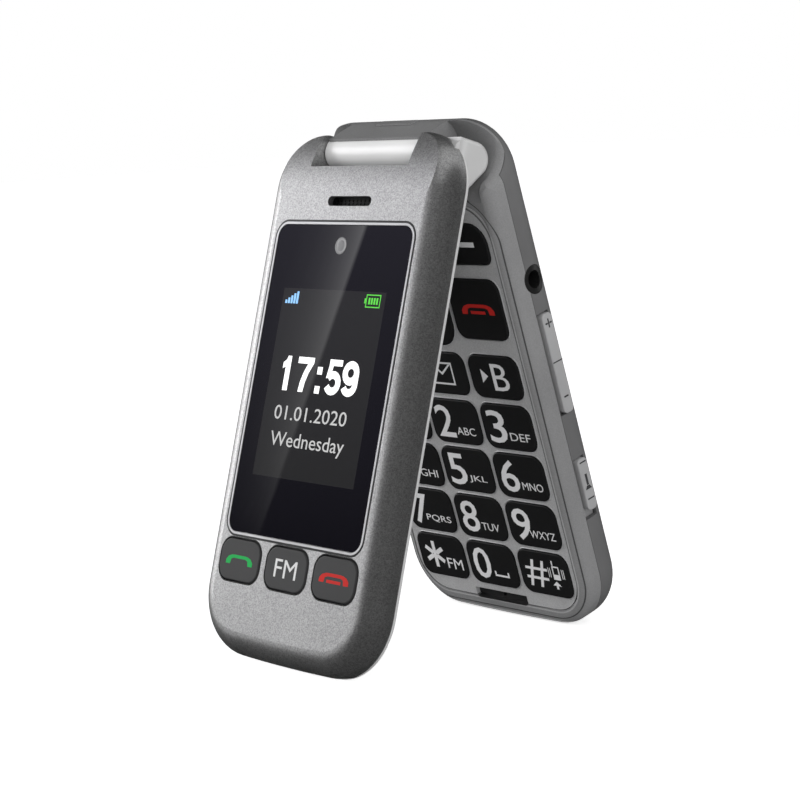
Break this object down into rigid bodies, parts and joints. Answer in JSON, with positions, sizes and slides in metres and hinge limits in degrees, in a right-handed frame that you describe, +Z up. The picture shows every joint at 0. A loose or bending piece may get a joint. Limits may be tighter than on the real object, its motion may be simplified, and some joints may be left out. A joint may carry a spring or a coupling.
{
  "type": "flip phone",
  "caption": "Flip phone standing open like a tent: outer window and keys on the lid, large keypad, barrel hinge, side volume and torch controls.",
  "frame": {"origin": "ground under the middle of the phone's bounding box, both free ends standing on Z = 0", "axes": "+Z up to the hinge, X along the hinge axis, lid on the -Y side and keypad half on the +Y side; jack and side keys face +X"},
  "size_m": [0.0546, 0.0726, 0.1057],
  "materials": {
    "lid_paint": "satin metallic",
    "silver_frame": "satin",
    "hinge_white": "satin",
    "window_black": "gloss",
    "window_clear": "gloss",
    "bright_trim": "polished",
    "display": "gloss",
    "black_module": "matte",
    "steel": "brushed",
    "circuit_board": "satin",
    "dome_foil": "satin",
    "rubber_pad": "matte",
    "flex": "satin",
    "base_grey": "satin",
    "fascia_silver": "satin",
    "cover_grey": "satin",
    "key_black": "satin",
    "lid_key_grey": "satin",
    "side_key_grey": "satin",
    "chassis_black": "matte",
    "battery_wrap": "satin",
    "torch_lens": "gloss"
  },
  "bodies": {
    "base": {"base_front_housing": "base_grey", "keypad_fascia": "fascia_silver", "base_chassis": "chassis_black", "battery_cover": "cover_grey", "hinge_barrel_sleeve": "hinge_white", "hinge_spring_cartridge": "steel", "battery": "battery_wrap", "main_circuit_board": "circuit_board", "keypad_dome_sheet": "dome_foil", "headphone_socket": "black_module", "charging_socket": "steel", "sim_card_holder": "steel", "vibration_motor": "steel", "microphone": "black_module", "torch_led": "torch_lens", "base_screws": "steel", "hinge_flex_cable": "flex"},
    "lid": {"lid_outer_shell": "lid_paint", "lid_inner_frame": "silver_frame", "outer_window_glass": "window_black", "outer_window_trim": "bright_trim", "outer_display_panel": "display", "camera_module": "black_module", "speaker_mesh": "steel", "loudspeaker": "black_module", "lid_circuit_board": "circuit_board", "lid_key_sheet": "dome_foil", "inner_window_glass": "window_clear", "inner_display_panel": "display", "earpiece_receiver": "black_module", "lid_bumpers": "rubber_pad", "lid_screws": "steel", "hinge_drive_shaft": "steel", "hinge_pivot_tube": "steel"},
    "lid_call_key": {"lid_call_key": "lid_key_grey"},
    "lid_radio_key": {"lid_radio_key": "lid_key_grey"},
    "lid_end_key": {"lid_end_key": "lid_key_grey"},
    "left_soft_key": {"left_soft_key": "key_black"},
    "right_soft_key": {"right_soft_key": "key_black"},
    "call_key": {"call_key": "key_black"},
    "end_key": {"end_key": "key_black"},
    "memory_a_key": {"memory_a_key": "key_black"},
    "message_key": {"message_key": "key_black"},
    "memory_b_key": {"memory_b_key": "key_black"},
    "digit_1_key": {"digit_1_key": "key_black"},
    "digit_2_key": {"digit_2_key": "key_black"},
    "digit_3_key": {"digit_3_key": "key_black"},
    "digit_4_key": {"digit_4_key": "key_black"},
    "digit_5_key": {"digit_5_key": "key_black"},
    "digit_6_key": {"digit_6_key": "key_black"},
    "digit_7_key": {"digit_7_key": "key_black"},
    "digit_8_key": {"digit_8_key": "key_black"},
    "digit_9_key": {"digit_9_key": "key_black"},
    "star_key": {"star_key": "key_black"},
    "digit_0_key": {"digit_0_key": "key_black"},
    "hash_key": {"hash_key": "key_black"},
    "nav_ring_key": {"nav_ring_key": "key_black"},
    "nav_centre_key": {"nav_centre_key": "key_black"},
    "volume_rocker": {"volume_rocker": "side_key_grey"},
    "torch_slider": {"torch_slider": "side_key_grey"}
  },
  "joints": [
    {"name": "lid_hinge", "type": "hinge", "parent": "base", "child": "lid", "pos_m": [-0.00035, -0.0012, 0.09953], "axis": [-1, 0, 0], "range_deg": [-31.8, 128.2]},
    {"name": "lid_call_key_press", "type": "slide", "parent": "lid", "child": "lid_call_key", "axis": [0, 0.9585, -0.2851], "range_m": [0, 0.0004], "stiffness_N_per_m": 1500},
    {"name": "lid_radio_key_press", "type": "slide", "parent": "lid", "child": "lid_radio_key", "axis": [0, 0.9585, -0.2851], "range_m": [0, 0.0004], "stiffness_N_per_m": 1500},
    {"name": "lid_end_key_press", "type": "slide", "parent": "lid", "child": "lid_end_key", "axis": [0, 0.9585, -0.2851], "range_m": [0, 0.0004], "stiffness_N_per_m": 1500},
    {"name": "left_soft_key_press", "type": "slide", "parent": "base", "child": "left_soft_key", "axis": [0, 0.9649, 0.2628], "range_m": [0, 0.0004], "stiffness_N_per_m": 1500},
    {"name": "right_soft_key_press", "type": "slide", "parent": "base", "child": "right_soft_key", "axis": [0, 0.9649, 0.2628], "range_m": [0, 0.0004], "stiffness_N_per_m": 1500},
    {"name": "call_key_press", "type": "slide", "parent": "base", "child": "call_key", "axis": [0, 0.9649, 0.2628], "range_m": [0, 0.0004], "stiffness_N_per_m": 1500},
    {"name": "end_key_press", "type": "slide", "parent": "base", "child": "end_key", "axis": [0, 0.9649, 0.2628], "range_m": [0, 0.0004], "stiffness_N_per_m": 1500},
    {"name": "memory_a_key_press", "type": "slide", "parent": "base", "child": "memory_a_key", "axis": [0, 0.9649, 0.2628], "range_m": [0, 0.0004], "stiffness_N_per_m": 1500},
    {"name": "message_key_press", "type": "slide", "parent": "base", "child": "message_key", "axis": [0, 0.9649, 0.2628], "range_m": [0, 0.0004], "stiffness_N_per_m": 1500},
    {"name": "memory_b_key_press", "type": "slide", "parent": "base", "child": "memory_b_key", "axis": [0, 0.9649, 0.2628], "range_m": [0, 0.0004], "stiffness_N_per_m": 1500},
    {"name": "digit_1_key_press", "type": "slide", "parent": "base", "child": "digit_1_key", "axis": [0, 0.9649, 0.2628], "range_m": [0, 0.0004], "stiffness_N_per_m": 1500},
    {"name": "digit_2_key_press", "type": "slide", "parent": "base", "child": "digit_2_key", "axis": [0, 0.9649, 0.2628], "range_m": [0, 0.0004], "stiffness_N_per_m": 1500},
    {"name": "digit_3_key_press", "type": "slide", "parent": "base", "child": "digit_3_key", "axis": [0, 0.9649, 0.2628], "range_m": [0, 0.0004], "stiffness_N_per_m": 1500},
    {"name": "digit_4_key_press", "type": "slide", "parent": "base", "child": "digit_4_key", "axis": [0, 0.9649, 0.2628], "range_m": [0, 0.0004], "stiffness_N_per_m": 1500},
    {"name": "digit_5_key_press", "type": "slide", "parent": "base", "child": "digit_5_key", "axis": [0, 0.9649, 0.2628], "range_m": [0, 0.0004], "stiffness_N_per_m": 1500},
    {"name": "digit_6_key_press", "type": "slide", "parent": "base", "child": "digit_6_key", "axis": [0, 0.9649, 0.2628], "range_m": [0, 0.0004], "stiffness_N_per_m": 1500},
    {"name": "digit_7_key_press", "type": "slide", "parent": "base", "child": "digit_7_key", "axis": [0, 0.9649, 0.2628], "range_m": [0, 0.0004], "stiffness_N_per_m": 1500},
    {"name": "digit_8_key_press", "type": "slide", "parent": "base", "child": "digit_8_key", "axis": [0, 0.9649, 0.2628], "range_m": [0, 0.0004], "stiffness_N_per_m": 1500},
    {"name": "digit_9_key_press", "type": "slide", "parent": "base", "child": "digit_9_key", "axis": [0, 0.9649, 0.2628], "range_m": [0, 0.0004], "stiffness_N_per_m": 1500},
    {"name": "star_key_press", "type": "slide", "parent": "base", "child": "star_key", "axis": [0, 0.9649, 0.2628], "range_m": [0, 0.0004], "stiffness_N_per_m": 1500},
    {"name": "digit_0_key_press", "type": "slide", "parent": "base", "child": "digit_0_key", "axis": [0, 0.9649, 0.2628], "range_m": [0, 0.0004], "stiffness_N_per_m": 1500},
    {"name": "hash_key_press", "type": "slide", "parent": "base", "child": "hash_key", "axis": [0, 0.9649, 0.2628], "range_m": [0, 0.0004], "stiffness_N_per_m": 1500},
    {"name": "nav_ring_key_press", "type": "slide", "parent": "base", "child": "nav_ring_key", "axis": [0, 0.9649, 0.2628], "range_m": [0, 0.0004], "stiffness_N_per_m": 1500},
    {"name": "nav_centre_key_press", "type": "slide", "parent": "base", "child": "nav_centre_key", "axis": [0, 0.9649, 0.2628], "range_m": [0, 0.0004], "stiffness_N_per_m": 1500},
    {"name": "volume_rocker_tilt", "type": "hinge", "parent": "base", "child": "volume_rocker", "pos_m": [0.02395, 0.01748, 0.05663], "axis": [0, -0.9649, -0.2628], "range_deg": [-1.6, 1.6], "stiffness_Nm_per_rad": 0.3},
    {"name": "torch_slide", "type": "slide", "parent": "base", "child": "torch_slider", "axis": [0, 0.2628, -0.9649], "range_m": [0, 0.0015]}
  ]
}
